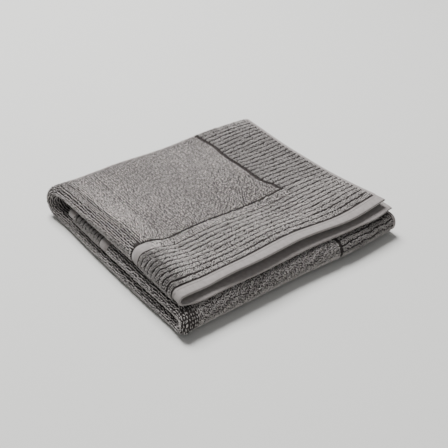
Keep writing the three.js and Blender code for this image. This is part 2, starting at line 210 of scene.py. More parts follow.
def settle(point, across):
    """Moves an evenly folded point to where it lies: sides shift by level and bow, corners are pushed."""
    x, y, z = point[..., 0], point[..., 1], point[..., 2]
    level = np.clip(z / HEIGHT, 0, 1)
    bow = np.sin(math.pi * np.clip(y / BACK_Y, 0, 1))
    upper = smooth(level, UPPER_LEVELS["start"], UPPER_LEVELS["end"])
    inner_share = (across < 0) * upper
    left_floor = LEFT_SIDE["floor"] - LEFT_SIDE["bow"] * bow
    left = left_floor + (LEFT_SIDE["top"] - left_floor) * level
    right = RIGHT_SIDE["floor"] + (RIGHT_SIDE["top"] - RIGHT_SIDE["floor"]) * upper
    right = right - RIGHT_SIDE["bow"] * bow * level + RIGHT_SIDE["inner_sheet"] * inner_share
    x = left + (x / FLAT_REACH) * (right - left)
    for push in CORNER_PUSHES:
        far = np.sqrt((x - push["x"]) ** 2 + (y - push["y"]) ** 2 + (z - push["z"]) ** 2)
        share = hump(far, 0, push["reach"]) * smooth(z, 0, PUSH_FROM_FLOOR)
        x = x + push["out"] * share
        y = y + push["back"] * share
    rib_turn = 2 * math.pi * (x + RIB_WAVE["slant"] * y) / RIB_WAVE["length"]
    y = y + RIB_WAVE["height"] * np.sin(rib_turn) * upper * smooth(x, RIB_WAVE["start"], RIB_WAVE["end"])
    uneven = np.sin(2 * math.pi * x / LIE_WAVE["across"]) * np.sin(2 * math.pi * y / LIE_WAVE["along"])
    z = z + (LIE_WAVE["height"] / 2) * (1 + uneven) * smooth(level, LIE_WAVE["from_level"], 1)
    return np.stack([x, y, z], axis=-1)


def surface(across, along, height):
    """Point at a height over the cloth's middle, square to it by the cross product of its two slopes."""
    step = 0.02
    along_slope = middle(across, along + step) - middle(across, along - step)
    across_slope = middle(across + step, along) - middle(across - step, along)
    normal = np.cross(across_slope, along_slope)
    normal /= np.linalg.norm(normal, axis=-1, keepdims=True)
    return settle(middle(across, along) + normal * np.asarray(height)[..., None], across)


def border_edge(along):
    """Inner edge of the ribbed side border."""
    return SIDE_BORDER_START + look_up(BORDER_WANDER, "along", "across", along)


def from_hem(along):
    """Distance from the nearer hem's edge."""
    return np.minimum(along, LENGTH - along)


def groove_table():
    """Grooves between ribs, as places along the cloth: one hem border's, the sides' and the other's.

    The sides' are evenly spaced by running length on the outer face, which is longer round the folds.
    """
    near = [HEM_WIDTH + i * WIDE_RIBS["pitch"] for i in range(WIDE_RIBS["count"])]
    start = HEM_WIDTH + WIDE_RIBS["count"] * WIDE_RIBS["pitch"]
    near += [start + i * HEM_RIBS["pitch"] for i in range(HEM_RIBS["count"])]
    ends = np.array([0, BACK_START, BACK_END, FRONT_START, FRONT_END, LENGTH])
    stretch = np.array([0, 0, OUTER_REACH * math.pi, 0, OUTER_REACH * math.pi, 0])
    lengths = ends + np.cumsum(stretch)
    low, high = np.interp([STRIP_START, LENGTH - STRIP_START], ends, lengths)
    count = round((high - low) / SIDE_RIB_PITCH)
    between = list(np.interp(np.linspace(low, high, count + 1), lengths, ends))
    return np.array(near + between + [LENGTH - at for at in reversed(near)])


GROOVES = groove_table()
RIB_CENTRES = (GROOVES[:-1] + GROOVES[1:]) / 2
RIB_PITCHES = np.diff(GROOVES)


def centre_shift():
    """From the shape's own corner to the part's frame, so that its outline's middle is the CAD box's."""
    flat = np.linspace(12, HALF_WIDTH, 60)
    across = np.concatenate([-flat[::-1], np.linspace(-10, 10, 41), flat])
    along = np.linspace(0, LENGTH, 800)
    thick = np.where(np.abs(across) > SELVEDGE_START, SELVEDGE_THICKNESS / 2, FULL)
    height = np.broadcast_to(thick[:, None], (len(across), len(along)))
    points = surface(across[:, None], along[None, :], height)
    low, high = points.min(axis=(0, 1)), points.max(axis=(0, 1))
    box_middle = [(TOWEL_BOX[0][i] + TOWEL_BOX[1][i]) / 2 / MM for i in range(2)]
    return np.array([box_middle[0] - (low[0] + high[0]) / 2, box_middle[1] - (low[1] + high[1]) / 2, 0.0])


SHIFT = centre_shift()


def wave_noise(a, b, length, seed):
    """Smooth uneven field from -1 to 1: the mean of eight sine waves of mixed direction and length."""
    random = np.random.default_rng(seed)
    total = np.zeros(np.broadcast(a, b).shape)
    for _ in range(8):
        angle = random.uniform(0, 2 * math.pi)
        pitch = length * random.uniform(0.6, 1.7)
        phase = random.uniform(0, 2 * math.pi)
        total += np.sin(2 * math.pi * (a * math.cos(angle) + b * math.sin(angle)) / pitch + phase)
    return total / 4


def linear(hex_colour):
    """sRGB hex to a linear colour."""
    parts = [int(hex_colour[i:i + 2], 16) / 255 for i in (1, 3, 5)]
    return tuple(p / 12.92 if p <= 0.04045 else ((p + 0.055) / 1.055) ** 2.4 for p in parts)


# Settings that a user would change


class TowelPileSettings(bpy.types.PropertyGroup):
    pitch_across: FloatProperty(
        name="Column spacing", description="From one column of loops to the next, across the cloth",
        default=2.15 * MM, min=1 * MM, max=6 * MM, unit="LENGTH")
    pitch_along: FloatProperty(
        name="Row spacing", description="From one row of loops to the next, along the cloth",
        default=2.0 * MM, min=1 * MM, max=6 * MM, unit="LENGTH")
    yarn: FloatProperty(
        name="Yarn thickness", description="Thickness of the pile yarn",
        default=1.1 * MM, min=0.3 * MM, max=3 * MM, unit="LENGTH")
    loop_height: FloatProperty(
        name="Loop height", description="From the ground weave to the middle of the yarn at the loop's top",
        default=0.95 * MM, min=0.5 * MM, max=6 * MM, unit="LENGTH")
    loop_length: FloatProperty(
        name="Loop length", description="From one foot of a loop to the other",
        default=2.3 * MM, min=0.5 * MM, max=6 * MM, unit="LENGTH")
    unevenness: FloatProperty(
        name="Unevenness", description="How much the loops differ in size, place and direction",
        default=1.0, min=0, max=2, subtype="FACTOR")
    seed: IntProperty(name="Seed", description="Starts the random order of the loops", default=11, min=0)


class TowelColourSettings(bpy.types.PropertyGroup):
    yarn: FloatVectorProperty(
        name="Pile yarn", description="Colour of the cotton loops", subtype="COLOR", size=3,
        default=linear("#c4bebb"), min=0, max=1)
    # Painted shade: the ground weave's colour is drawn dark for the little light that reaches it between the
    # loops
    ground: FloatVectorProperty(
        name="Ground weave", description="Colour of the weave under the loops", subtype="COLOR", size=3,
        default=linear("#3c3837"), min=0, max=1)
    woven: FloatVectorProperty(
        name="Hem", description="Colour of the woven hems, strip and selvedges", subtype="COLOR", size=3,
        default=linear("#918b89"), min=0, max=1)
    floor: FloatVectorProperty(
        name="Floor", description="Colour of the floor", subtype="COLOR", size=3,
        default=linear("#d6d6d3"), min=0, max=1)


class TowelStageSettings(bpy.types.PropertyGroup):
    azimuth: FloatProperty(
        name="Azimuth", description="Turn of the camera round the towel",
        default=math.radians(-37.15), subtype="ANGLE")
    elevation: FloatProperty(
        name="Elevation", description="Camera's height over the horizon",
        default=math.radians(34.92), subtype="ANGLE")
    distance: FloatProperty(
        name="Distance", description="From the camera to the point it looks at",
        default=784.34 * MM, min=0.1, unit="LENGTH")
    target: FloatVectorProperty(
        name="Target", description="Point that the camera looks at, on the floor", size=3,
        default=(4.17 * MM, -4.16 * MM, 0), subtype="TRANSLATION", unit="LENGTH")
    field: FloatProperty(
        name="Field of view", description="Angle across the square picture",
        default=2 * math.atan(224 / 800), subtype="ANGLE")


# Meshes


def make_mesh(name, points, faces):
    """Mesh object from points in the shape's own frame, which are moved to the part's frame, in metres."""
    mesh = bpy.data.meshes.new(name)
    placed = (np.asarray(points) + SHIFT) * MM
    faces = np.asarray(faces)
    sides = faces.shape[1]
    mesh.vertices.add(len(placed))
    mesh.vertices.foreach_set("co", placed.astype(np.float32).ravel())
    mesh.loops.add(faces.size)
    mesh.loops.foreach_set("vertex_index", faces.astype(np.int32).ravel())
    mesh.polygons.add(len(faces))
    mesh.polygons.foreach_set("loop_start", np.arange(0, faces.size, sides, dtype=np.int32))
    mesh.polygons.foreach_set("loop_total", np.full(len(faces), sides, dtype=np.int32))
    mesh.polygons.foreach_set("use_smooth", np.ones(len(faces), dtype=bool))
    mesh.update(calc_edges=True)
    piece = bpy.data.objects.new(name, mesh)
    bpy.context.scene.collection.objects.link(piece)
    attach(piece, "root")
    return piece


def cloth_columns():
    """Column places across the cloth: fine round the fold, at the border's edge and at the selvedge."""
    fold = np.linspace(0, 10, 8)
    flat = [13, 17, 22, 28, 36, 45, 55, 66, 78, 90, 102, 114, 126, 138, 150, 160, 168, 174]
    edge = [SIDE_BORDER_START - 1.6, SIDE_BORDER_START, SIDE_BORDER_START + 1.6]
    side = [184, 190, 198, 207, 216, 225, 234, 241, 245, SELVEDGE_START - 0.6, SELVEDGE_START]
    rim = [HALF_WIDTH - EDGE_ROUND * (1 - math.sin(t)) for t in np.linspace(0, math.pi / 2, 5)]
    right = np.concatenate([fold[1:], flat, edge, side, rim])
    return np.concatenate([-right[::-1], [0], right])


def cloth_lines():
    """Line places along the cloth: four to a rib, more at the hems."""
    hem = [EDGE_ROUND * (1 - math.cos(t)) for t in np.linspace(0, math.pi / 2, 5)]
    hem += [4, STITCH_LINE - 1.4, STITCH_LINE, STITCH_LINE + 1.2, HEM_WIDTH, HEM_WIDTH + 0.7]
    strip_middle = (STRIP_START + STRIP_END) / 2
    strip = [STRIP_START + 0.8, strip_middle, STRIP_END - 1, STRIP_END, STRIP_END + 1]
    ends = np.array(hem + strip)
    flank = 0.2 * SIDE_RIB_PITCH
    ribs = np.concatenate([GROOVES + flank, GROOVES, GROOVES - flank, RIB_CENTRES])
    off_strip = np.abs(from_hem(ribs) - strip_middle) > STRIP_WIDTH / 2 + 1.05
    ribs = ribs[(from_hem(ribs) > HEM_WIDTH + 1) & off_strip]
    lines = np.sort(np.concatenate([ends, LENGTH - ends, ribs]))
    return lines[np.concatenate([[True], np.diff(lines) > 0.12])]


def led_across(across, along):
    """Distance across, led along the border's uneven inner edge, and straight towards the hems."""
    fade = smooth(from_hem(along), BORDER_LEAD["from"], STRIP_END)
    wander = look_up(BORDER_WANDER, "along", "across", along) * fade
    return across + np.sign(across) * wander * hump(np.abs(across), SIDE_BORDER_START, BORDER_LEAD["reach"])


def columns_across(places, along):
    """Distance across for each column and line, stretched with the left fold and led along the border."""
    reach = fold_radius(along) * math.pi / 2
    size = np.abs(places)
    inside = size / 10 * reach
    between = reach + (size - 10) * (20 - reach) / 10
    stretched = np.select([size <= 10, size < 20], [inside, between], size)
    return led_across(np.sign(places) * stretched, along)


def rib_shape(along):
    """0 in a groove and 1 on a rib: a rounded wave from groove to groove."""
    near = np.clip(np.searchsorted(GROOVES, along), 1, len(GROOVES) - 1)
    share = (along - GROOVES[near - 1]) / (GROOVES[near] - GROOVES[near - 1])
    return np.sin(math.pi * np.clip(share, 0, 1)) ** 0.7


def pile_cover(across, along):
    """1 where loops are drawn on the right side and 0 where layers lie on each other."""
    outer = smooth(across, -20, -12) * (1 - smooth(along, FRONT_END + 8, FRONT_END + 22))
    fold = 1 - smooth(np.abs(across), 12, 20)
    cavity = (across < 0) * (1 - smooth(-across, 46, 54)) * hump(along, (BACK_START + BACK_END) / 2, 60)
    return np.clip(np.maximum(np.maximum(outer, fold), 1.5 * cavity), 0, 1)


def rounded_edge(across, along):
    """Share of the full thickness near an edge: a quarter round."""
    inward = np.minimum(from_hem(along), HALF_WIDTH - np.abs(across)) / EDGE_ROUND
    return np.sqrt(np.clip(1 - (1 - np.clip(inward, 0, 1)) ** 2, 0.004, 1))


def woven_part(across, along):
    """True on the smooth woven hems, strip and selvedges."""
    hem = from_hem(along)
    bend_end = (STRIP_BEND["start"] + STRIP_BEND["end"]) / 2 + 4 * wave_noise(across, along, 12, 2)
    strip = (hem >= STRIP_START) & (hem <= STRIP_END) & (np.abs(across) < bend_end)
    return (hem <= HEM_WIDTH) | (np.abs(across) > SELVEDGE_START - 1) | strip


def hem_height(hem):
    """From the cloth's middle to a hem's face, dented along the seam."""
    return HEM_THICKNESS / 2 - SEAM_DENT["depth"] * hump(hem, STITCH_LINE, SEAM_DENT["width"])


def face_height(across, along):
    """From the cloth's middle to the right side: smooth where it is woven, the ground weave elsewhere."""
    hem = from_hem(along)
    side = np.abs(across) >= border_edge(along)
    ribbed = side | (hem < STRIP_START)
    ground = np.where(ribbed, GROOVE_GROUND + (GROUND - GROOVE_GROUND) * rib_shape(along), GROUND)
    cover = pile_cover(across, along)
    height = ground * cover + HIDDEN_FACE * (1 - cover)
    strip = (hem >= STRIP_START) & (hem <= STRIP_END)
    strip = strip * (1 - smooth(np.abs(across), STRIP_BEND["start"], STRIP_BEND["end"]))
    strip_edges = smooth(STRIP_END - hem, 0, 1) * smooth(hem - STRIP_START, -0.2, 0.8)
    strip_height = (FULL - STRIP_RECESS) * strip_edges
    height = height + (np.maximum(strip_height, GROOVE_GROUND) - height) * strip
    line = hump(hem, STRIP_END, LINE_GAP) * ~side
    line = np.maximum(line, hump(np.abs(across), border_edge(along), LINE_GAP) * (hem > STRIP_END - 1))
    height = np.where(hem > HEM_WIDTH, height - (GROUND - GROOVE_GROUND) * line * cover, height)
    height = np.where(hem <= HEM_WIDTH, hem_height(hem), height)
    cord = hump(np.abs(across), SELVEDGE_CORD["at"], SELVEDGE_CORD["width"]) * (hem > HEM_WIDTH)
    cord = SELVEDGE_CORD["height"] * cord
    height = np.where(np.abs(across) > SELVEDGE_START, SELVEDGE_THICKNESS / 2 + cord, height)
    return height * rounded_edge(across, along)


def back_height(across, along):
    """From the cloth's middle to the other side, which lies on its neighbour except at the hems."""
    hem = from_hem(along)
    inner = HIDDEN_FACE - (HIDDEN_FACE - GROUND) * (1 - smooth(hem, 22, 34))
    height = np.where(hem <= HEM_WIDTH, hem_height(hem), inner)
    height = np.where(np.abs(across) > SELVEDGE_START, SELVEDGE_THICKNESS / 2, height)
    return height * rounded_edge(across, along)


def build_cloth():
    """The whole cloth as one closed sheet: right side, other side, and the rim between them.

    Both sides are the same grid of distances across and along, offset from the cloth's middle.
    """
    lines = cloth_lines()
    places = cloth_columns()
    along = np.broadcast_to(lines[None, :], (len(places), len(lines)))
    across = columns_across(places[:, None], along)
    right_side = surface(across, along, face_height(across, along))
    other_side = surface(across, along, -back_height(across, along))
    points = np.concatenate([right_side.reshape(-1, 3), other_side.reshape(-1, 3)])

    columns, rows = across.shape
    index = np.arange(columns * rows).reshape(columns, rows)
    a, b, c, d = index[:-1, :-1], index[1:, :-1], index[1:, 1:], index[:-1, 1:]
    face = np.stack([a, b, c, d], axis=-1).reshape(-1, 4)
    back = np.stack([a, d, c, b], axis=-1).reshape(-1, 4) + columns * rows
    under = index + columns * rows
    rims = []
    for top, low in (
        (index[:, 0], under[:, 0]),
        (index[::-1, -1], under[::-1, -1]),
        (index[-1, :], under[-1, :]),
        (index[0, ::-1], under[0, ::-1]),
    ):
        rims.append(np.stack([top[1:], top[:-1], low[:-1], low[1:]], axis=-1))
    faces = np.concatenate([face, back, *rims])
    piece = make_mesh("towel_cloth", points, faces)

    flat_across = np.concatenate([across.ravel(), across.ravel()])
    flat_along = np.concatenate([along.ravel(), along.ravel()])
    layer = piece.data.uv_layers.new(name="cloth")
    corners = faces.ravel()
    uv = np.stack([flat_across[corners], flat_along[corners]], axis=-1) * MM
    layer.data.foreach_set("uv", uv.astype(np.float32).ravel())
    middle_across = flat_across[faces].mean(axis=1)
    middle_along = flat_along[faces].mean(axis=1)
    woven = woven_part(middle_across, middle_along)
    piece.data.polygons.foreach_set("material_index", woven.astype(np.int32))
    return piece


# The pile: zones of loops on the cloth. Across and along are ranges in millimetres, side is 1 for the right
# side and -1 for the other, flat is how far the loops are pressed down, ring how many rings of yarn a loop
# has, and pitch the loops' spacing as a share of the set one. Shade is how light the yarn is drawn, as a
# share of the usual. It is painted light and shade, set zone by zone so that the tones match from the
# camera's angle, and the centre is drawn much lighter than the side border and the folds, though the yarn is
# one colour. Contrast is how much the loops differ in it at random and how deep the painted shade at their
# feet is, both as shares of the usual.
HEM_TO_HEM = (HEM_WIDTH, LENGTH - HEM_WIDTH)
ZONES = [
    {"name": "pile_top_centre", "across": (14, 179), "along": (HEM_WIDTH, BACK_START),
     "side": 1, "flat": 0, "ring": 4, "pitch": 1, "shade": 1.36, "contrast": 0.9},
    {"name": "pile_top_side", "across": (179, 246), "along": (STRIP_END, BACK_START),
     "side": 1, "flat": 0, "ring": 5, "pitch": 0.95, "shade": 0.9, "contrast": 0.75},
    {"name": "pile_top_corner", "across": (179, 246), "along": (HEM_WIDTH, STRIP_END),
     "side": 1, "flat": 0, "ring": 5, "pitch": 0.95, "shade": 1.08, "contrast": 0.8},
    {"name": "pile_left_fold_top", "across": (-14, 14), "along": (HEM_WIDTH, BACK_START),
     "side": 1, "flat": 0, "ring": 4, "pitch": 1, "shade": 0.84, "contrast": 1.05},
    {"name": "pile_left_fold_low", "across": (-14, 14), "along": (BACK_START, LENGTH - HEM_WIDTH),
     "side": 1, "flat": 0, "ring": 4, "pitch": 1, "shade": 0.74, "contrast": 1.05},
    {"name": "pile_back_fold", "across": (14, 246), "along": (BACK_START, BACK_END + 8),
     "side": 1, "flat": 0, "ring": 4, "pitch": 1, "shade": 1, "contrast": 0.8},
    {"name": "pile_front_fold", "across": (14, 246), "along": (FRONT_START - 8, FRONT_END + 10),
     "side": 1, "flat": 0.25, "ring": 4, "pitch": 0.78, "shade": 0.84, "contrast": 0.6},
    {"name": "pile_underside", "across": (14, 246), "along": (BACK_END + 8, FRONT_START - 8),
     "side": 1, "flat": 0.3, "ring": 4, "pitch": 1.2, "shade": 1, "contrast": 1},
    {"name": "pile_cavity", "across": (-48, -14), "along": (BACK_START - 40, BACK_END + 40),
     "side": 1, "flat": 0.1, "ring": 4, "pitch": 1, "shade": 1, "contrast": 1},
    {"name": "pile_inside_hem", "across": (-246, 246), "along": (HEM_WIDTH, 24),
     "side": -1, "flat": 0.1, "ring": 4, "pitch": 1, "shade": 1, "contrast": 1},
    {"name": "pile_rim_inner", "across": (-246, -241), "along": HEM_TO_HEM,
     "side": 1, "flat": 0.2, "ring": 4, "pitch": 1, "shade": 1, "contrast": 1},
    {"name": "pile_rim_outer", "across": (241, 246), "along": (FRONT_END + 10, LENGTH - HEM_WIDTH),
     "side": 1, "flat": 0.2, "ring": 4, "pitch": 1, "shade": 1, "contrast": 1},
    {"name": "pile_rim_back_inner", "across": (-246, -243), "along": (24, LENGTH - HEM_WIDTH),
     "side": -1, "flat": 0.2, "ring": 4, "pitch": 1, "shade": 1, "contrast": 1},
    {"name": "pile_rim_back_outer", "across": (243, 246), "along": (24, LENGTH - HEM_WIDTH),
     "side": -1, "flat": 0.2, "ring": 4, "pitch": 1, "shade": 1, "contrast": 1},
]

# How the loops of each part of the pattern stand, as shares of the plain terry's values. A rib's rows are
# distances from its middle, as shares of the rib.
# Each pattern's shade is painted light and shade as well: ribs are drawn darker and plain terry lighter,
# together with the zones' shades, so that the tones match from the camera's angle.
PATTERNS = {
    "plain": {"columns": 1.0, "rows": 1.0, "length": 0.56, "height": 0.9, "turn": 3.2, "shade": 1.05},
    "rib": {"columns": 0.75, "rows": (-0.24, 0.0, 0.24), "length": 0.55, "height": 1.15, "turn": 1.8,
            "shade": 0.84},
    "strip": {"columns": 0.95, "rows": 0.9, "length": 0.66, "height": 0.9, "turn": 2.6, "shade": 1.03},
}
# How the loops differ from one to the next, as spreads of chance: the place in millimetres, the turn in
# radians, the lean in millimetres, and the rest as shares
SPREAD = {"place": 0.18, "turn": 0.42, "size": 0.12, "height": 0.14, "lean": 0.3, "yarn": 0.08, "shade": 0.2}
# How they differ from patch to patch, in waves of this length
PATCH = {"length": 34, "size": 0.05, "lean": 0.06, "shade": 0.05}
DRIFT = {"length": 14, "height": 0.08}
TUFT = {"length": 3.1, "height": 0.25, "shade": 0.36}  # loops bunch in tufts, which are high and light
# Round the left fold the loops stand in line and are longer
BEND = {"start": 12, "end": 30, "in_line": 0.85, "longer": 0.5}
FOOT_DEPTH = 0.25  # how far a loop's feet are sunk in the ground weave
FOOT_SHADE = 0.62  # painted shade: how much darker the yarn is drawn there, where little light reaches between the loops
FOOT_TAPER = 0.25  # and how much thinner
LINE_GAP = 1.6  # clear of loops on each side of the line between border and centre
RIB_WIGGLE = {"size": 0.45, "length": 11}


def even_values(start, end, pitch, line):
    """Values from start to end whose points on a line lie one pitch apart, by its running length."""
    fine = np.linspace(start, end, 1200)
    length = np.concatenate([[0], np.cumsum(np.linalg.norm(np.diff(line(fine), axis=0), axis=1))])
    count = max(int(length[-1] / pitch), 1)
    return np.interp((np.arange(count) + 0.5) * length[-1] / count, length, fine)


def loop_places(zone, pattern, pile, random):
    """Feet of a zone's loops in one part of the pattern, as distances across and along."""
    low, high = zone["across"]
    start, end = zone["along"]
    share = PATTERNS[pattern]
    height = zone["side"] * FULL
    some_across, some_along = (low + high) / 2, (start + end) / 2

    def across_line(across):
        return surface(across, np.full(len(across), some_along), np.full(len(across), height))

    def along_line(along):
        return surface(np.full(len(along), some_across), along, np.full(len(along), height))

    columns = even_values(low, high, pile.pitch_across / MM * share["columns"] * zone["pitch"], across_line)
    if pattern == "rib":
        rows = np.concatenate([RIB_CENTRES + spread * RIB_PITCHES for spread in share["rows"]])
        rows = rows[(rows > start) & (rows < end)]
    else:
        rows = even_values(start, end, pile.pitch_along / MM * share["rows"] * zone["pitch"], along_line)
    across, along = (grid.ravel() for grid in np.meshgrid(columns, rows, indexing="ij"))
    jitter = SPREAD["place"] * pile.unevenness
    across = across + random.normal(0, jitter, across.shape)
    along = along + random.normal(0, jitter, along.shape)
    hem = from_hem(along)
    size = np.abs(across)
    gap = LINE_GAP * (hem > STRIP_END - 1)
    side = size > SIDE_BORDER_START + gap
    inside = size < SIDE_BORDER_START - gap
    if pattern == "rib":
        keep = (hem > HEM_WIDTH + 0.6) & (side | (hem < STRIP_START - 0.5))
        wiggle = RIB_WIGGLE["size"] * wave_noise(across, along, RIB_WIGGLE["length"], 7)
        along = along + wiggle * pile.unevenness
    elif pattern == "strip":
        bend_start, bend_end = STRIP_BEND["start"], STRIP_BEND["end"]
        keep = inside & (hem > STRIP_START + 1.2) & (hem < STRIP_END - LINE_GAP) & (size > bend_start + 4)
        keep &= random.uniform(0, 1, size.shape) < smooth(size, bend_start - 4, bend_end - 14)
    else:
        keep = inside & (hem > STRIP_END + LINE_GAP)
    keep &= (across > low) & (across < high) & (size < SELVEDGE_START - 2)
    return led_across(across[keep], along[keep]), along[keep]


def surface_ways(across, along, height, side):
    """Points on the surface, and from each the ways along, across and up, for every millimetre."""
    step = 0.3
    foot = surface(across, along, height)
    along_way = (surface(across, along + step, height) - foot) / step
    across_way = (surface(across + step, along, height) - foot) / step
    up_way = (surface(across, along, height + side * step) - foot) / step
    return foot, along_way, across_way, up_way


def rods(foot, moves):
    """Points of rods: each rod's foot, moved by the given distances in the given ways."""
    moved = sum(distance[..., None] * way[:, None, None, :] for distance, way in moves)
    return foot[:, None, None, :] + moved


def rod_faces(stations, corners):
    """Triangles of one closed rod: two for each side of each length of it, and a fan at both ends."""
    ring = np.arange(stations * corners).reshape(stations, corners)
    a, b = ring[:-1], ring[1:]
    low = np.stack([a, np.roll(a, -1, 1), np.roll(b, -1, 1)], -1).reshape(-1, 3)
    high = np.stack([a, np.roll(b, -1, 1), b], -1).reshape(-1, 3)
    first = [ring[0][[i + 1, i, 0]] for i in range(1, corners - 1)]
    last = [ring[-1][[0, i, i + 1]] for i in range(1, corners - 1)]
    return np.concatenate([low, high, first, last])


def all_faces(one, count, points_each, turned):
    """Faces of many like rods, from one rod's, with those turned over that stand on the other side."""
    faces = one[None] + (np.arange(count) * points_each)[:, None, None]
    faces[turned] = faces[turned][:, :, ::-1]
    return faces.reshape(-1, 3)


def build_loops(zone, pile):
    """Terry loops as arches of yarn.

    The path is half an ellipse from foot to foot: length cosine along the cloth, height sine over the
    ground. A triangle of yarn is carried along it, turned by a small random angle and leaning aside.
    """
    random = np.random.default_rng(pile.seed + ZONES.index(zone))
    found = []
    for pattern, share in PATTERNS.items():
        across, along = loop_places(zone, pattern, pile, random)
        ones = np.ones(len(across))
        found.append([across, along, (pattern == "rib") * ones]
                     + [share[key] * ones for key in ("length", "height", "turn", "shade")])
    across, along, rib, long, high, turned, tone = (np.concatenate(parts) for parts in zip(*found))
    count = len(across)
    side = zone["side"]
    uneven = pile.unevenness
    drift = wave_noise(across, along, DRIFT["length"], 3)
    patch = wave_noise(across, along, PATCH["length"], 5)
    tuft = wave_noise(across, along, TUFT["length"], 9) * (1 - rib)
    ground = np.full(count, side * (GROUND - FOOT_DEPTH))
    foot, *ways = surface_ways(across, along, ground, side)
    along_way, across_way, up_way = (way / np.linalg.norm(way, axis=1, keepdims=True) for way in ways)

    bend = 1 - smooth(np.abs(across), BEND["start"], BEND["end"])
    turn = random.normal(0, SPREAD["turn"] * uneven, count) * turned * (1 - BEND["in_line"] * bend)
    turn = turn + math.pi / 2 * bend * rib
    size = 1 + random.normal(0, SPREAD["size"] * uneven, count) + PATCH["size"] * patch
    tall = 1 + random.normal(0, SPREAD["height"] * uneven, count)
    tall = high * (tall + DRIFT["height"] * drift + TUFT["height"] * tuft) * (1 - zone["flat"])
    lean = random.normal(0, SPREAD["lean"] * uneven, count) + PATCH["lean"] * patch
    half = pile.loop_length / MM / 2 * size * long * (1 + BEND["longer"] * bend * (1 - rib))
    height = (pile.loop_height / MM + FOOT_DEPTH) * tall
    thick = pile.yarn / MM / 2 * (1 + random.normal(0, SPREAD["yarn"] * uneven, count))

    stations = zone["ring"]
    angle = np.linspace(0, math.pi, stations)[None, :, None]
    round_angle = np.radians([90, 210, 330])[None, None, :]
    shape = (count, stations, 3)
    radius = thick[:, None, None] * (1 - FOOT_TAPER * np.abs(np.cos(angle)))
    forward = -half[:, None, None] * np.cos(angle) - radius * np.cos(angle) * np.sin(round_angle)
    upward = height[:, None, None] * np.sin(angle) + radius * np.sin(angle) * np.sin(round_angle)
    sideways = lean[:, None, None] * np.sin(angle) + radius * np.cos(round_angle)
    cosine, sine = np.cos(turn)[:, None, None], np.sin(turn)[:, None, None]
    points = rods(foot, [
        (forward * cosine - sideways * sine, along_way),
        (forward * sine + sideways * cosine, across_way),
        (upward, up_way),
    ])
    points[..., 2] = np.maximum(points[..., 2], 0)
    faces = all_faces(rod_faces(stations, 3), count, stations * 3, np.full(count, side > 0))
    piece = make_mesh(zone["name"], points.reshape(-1, 3), faces)

    contrast = zone["contrast"]
    differ = random.normal(0, SPREAD["shade"], count) * np.where(rib > 0, 0.7, 1) * contrast
    # Zone and pattern shades are painted light and shade; the spread, patch and tuft terms are the loops' own
    # tone at random
    shade = zone["shade"] * tone * (1 + differ + PATCH["shade"] * patch + TUFT["shade"] * tuft)
    # Painted shade: each loop is drawn darker towards its feet, where little light reaches between the loops
    depth = 1 - FOOT_SHADE * contrast * (1 - np.sin(angle))
    values = np.broadcast_to(shade[:, None, None] * depth, shape)
    attribute = piece.data.attributes.new("shade", "FLOAT", "POINT")
    attribute.data.foreach_set("value", values.astype(np.float32).ravel())
    return piece


def build_stitches():
    """Lockstitches along the hems, where each hem is sewn down.

    A stitch is a short four-sided rod: its path is a shallow arch along the seam, thickest in the middle.
    """
    starts = np.arange(-HALF_WIDTH + 4, HALF_WIDTH - 4, STITCH["pitch"])
    seams = [(STITCH_LINE, 1), (LENGTH - STITCH_LINE, 1), (STITCH_LINE, -1), (LENGTH - STITCH_LINE, -1)]
    centres = np.tile(starts, len(seams))
    along, sides = np.repeat(np.array(seams, dtype=float), len(starts), axis=0).T
    height = sides * (HEM_THICKNESS / 2 - STITCH["rise"])
    foot, along_way, across_way, up_way = surface_ways(centres, along, height, sides)
    share = np.array([-1.0, -0.8, 0.0, 0.8, 1.0])[None, :, None]
    turn = np.radians(np.arange(4) * 90)[None, None, :]
    radius = STITCH["thickness"] / 2 * np.array([0.35, 0.9, 1.0, 0.9, 0.35])[None, :, None]
    shape = (len(centres), 5, 4)
    points = rods(foot, [
        (np.broadcast_to(share * STITCH["length"] / 2, shape), across_way),
        (np.broadcast_to(radius * np.cos(turn), shape), along_way),
        (np.broadcast_to(STITCH["rise"] * (1 - share ** 2) + radius * np.sin(turn), shape), up_way),
    ])
    faces = all_faces(rod_faces(5, 4), len(centres), 5 * 4, sides < 0)
    return make_mesh("hem_stitches", points.reshape(-1, 3), faces)


# Materials


def add_node(tree, kind, settings=None, inputs=None):
    """Adds a node, sets its options, and sets or links its sockets."""
    node = tree.nodes.new(kind)
    for name, value in (settings or {}).items():
        setattr(node, name, value)
    for name, value in (inputs or {}).items():
        if isinstance(value, bpy.types.NodeSocket):
            tree.links.new(value, node.inputs[name])
        else:
            node.inputs[name].default_value = value
    return node


def new_material(name):
    material = bpy.data.materials.new(name)
    material.use_nodes = True
    material.node_tree.nodes.clear()
    return material, material.node_tree


def tinted(tree, colour, share):
    """The colour, made lighter or darker by a share."""
    settings = {"operation": "SCALE"}
    return add_node(tree, "ShaderNodeVectorMath", settings, {0: (*colour,), "Scale": share}).outputs["Vector"]


def bumped(tree, height, strength, distance):
    """Small relief from a pattern, up to a distance in millimetres."""
    inputs = {"Height": height, "Strength": strength, "Distance": distance * MM}
    return add_node(tree, "ShaderNodeBump", None, inputs).outputs["Normal"]


def finish_shader(tree, inputs):
    shader = add_node(tree, "ShaderNodeBsdfPrincipled", None, inputs)
    add_node(tree, "ShaderNodeOutputMaterial", None, {"Surface": shader.outputs["BSDF"]})


